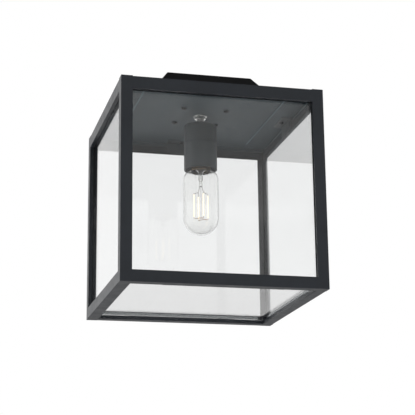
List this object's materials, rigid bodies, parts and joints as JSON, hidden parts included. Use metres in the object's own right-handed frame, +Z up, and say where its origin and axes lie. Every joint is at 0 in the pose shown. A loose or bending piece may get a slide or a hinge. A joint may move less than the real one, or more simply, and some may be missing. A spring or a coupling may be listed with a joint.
{
  "type": "porch ceiling lantern",
  "caption": "Square glazed porch lantern that hangs close under a ceiling, with a clear tubular bulb in a screw lampholder and a loose bottom pane for relamping.",
  "frame": {"origin": "centre of the face that lies on the ceiling", "axes": "+Z up into the ceiling, -Y out of the front pane, +X to the right seen from the front"},
  "size_m": [0.25, 0.25, 0.284],
  "materials": {
    "frame_paint": "satin",
    "roof_paint": "satin",
    "clip_paint": "satin",
    "canopy_paint": "satin",
    "pane_glass": "clear",
    "black_screws": "satin",
    "zinc_steel": "zinc plated",
    "plated_steel": "nickel plated",
    "brass": "plain",
    "holder_plastic": "satin",
    "core_plastic": "ceramic",
    "block_plastic": "matt",
    "brown_lead": "matt",
    "blue_lead": "matt",
    "green_lead": "matt",
    "solder": "dull",
    "black_glass": "glossy",
    "cap_brass": "satin",
    "bulb_glass": "clear",
    "filament": "phosphor coated",
    "support_wire": "plain"
  },
  "bodies": {
    "lantern": {"corner_post_front_left": "frame_paint", "corner_post_front_right": "frame_paint", "corner_post_back_right": "frame_paint", "corner_post_back_left": "frame_paint", "top_rail_front": "frame_paint", "top_rail_right": "frame_paint", "top_rail_back": "frame_paint", "top_rail_left": "frame_paint", "bottom_rail_front": "frame_paint", "bottom_rail_right": "frame_paint", "bottom_rail_back": "frame_paint", "bottom_rail_left": "frame_paint", "corner_bracket_front_left": "frame_paint", "corner_bracket_front_right": "frame_paint", "corner_bracket_back_right": "frame_paint", "corner_bracket_back_left": "frame_paint", "roof_plate": "roof_paint", "glass_clip_front": "clip_paint", "glass_clip_right": "clip_paint", "glass_clip_back": "clip_paint", "glass_clip_left": "clip_paint", "canopy": "canopy_paint", "glass_front": "pane_glass", "glass_right": "pane_glass", "glass_back": "pane_glass", "glass_left": "pane_glass", "clip_screws": "black_screws", "roof_screws": "black_screws", "ceiling_bracket": "zinc_steel", "nipple": "plated_steel", "nipple_nut_upper": "plated_steel", "nipple_nut_lower": "plated_steel", "nipple_washer_upper": "plated_steel", "nipple_washer_lower": "plated_steel", "earth_stud": "plated_steel", "earth_nut": "plated_steel", "earth_tag": "brass", "lampholder_cap": "holder_plastic", "lampholder_skirt": "holder_plastic", "lampholder_core": "core_plastic", "lampholder_shell": "brass", "lampholder_contact": "brass", "lampholder_terminals": "brass", "terminal_screws": "brass", "terminal_block": "block_plastic", "lead_live": "brown_lead", "lead_neutral": "blue_lead", "lead_earth": "green_lead"},
    "bulb_seat": {"bulb_button": "solder"},
    "bulb": {"bulb_insulator": "black_glass", "bulb_cap": "cap_brass", "bulb_glass": "bulb_glass", "bulb_stem": "bulb_glass", "bulb_filaments": "filament", "bulb_wires": "support_wire"},
    "bottom_pane": {"glass_bottom": "pane_glass"}
  },
  "joints": [
    {"name": "bulb_travel", "type": "slide", "parent": "lantern", "child": "bulb_seat", "axis": [0, 0, -1], "range_m": [0, 0.022]},
    {"name": "bulb_turn", "type": "hinge", "parent": "bulb_seat", "child": "bulb", "pos_m": [0, 0, -0.1], "axis": [0, 0, -1], "range_deg": [0, 2160]},
    {"name": "bottom_pane_lift", "type": "slide", "parent": "lantern", "child": "bottom_pane", "axis": [0, 0, 1], "range_m": [0, 0.05]}
  ],
  "couplings": [
    {"joint": "bulb_travel", "follows": "bulb_turn", "m_per_rad": 0.00057758}
  ]
}
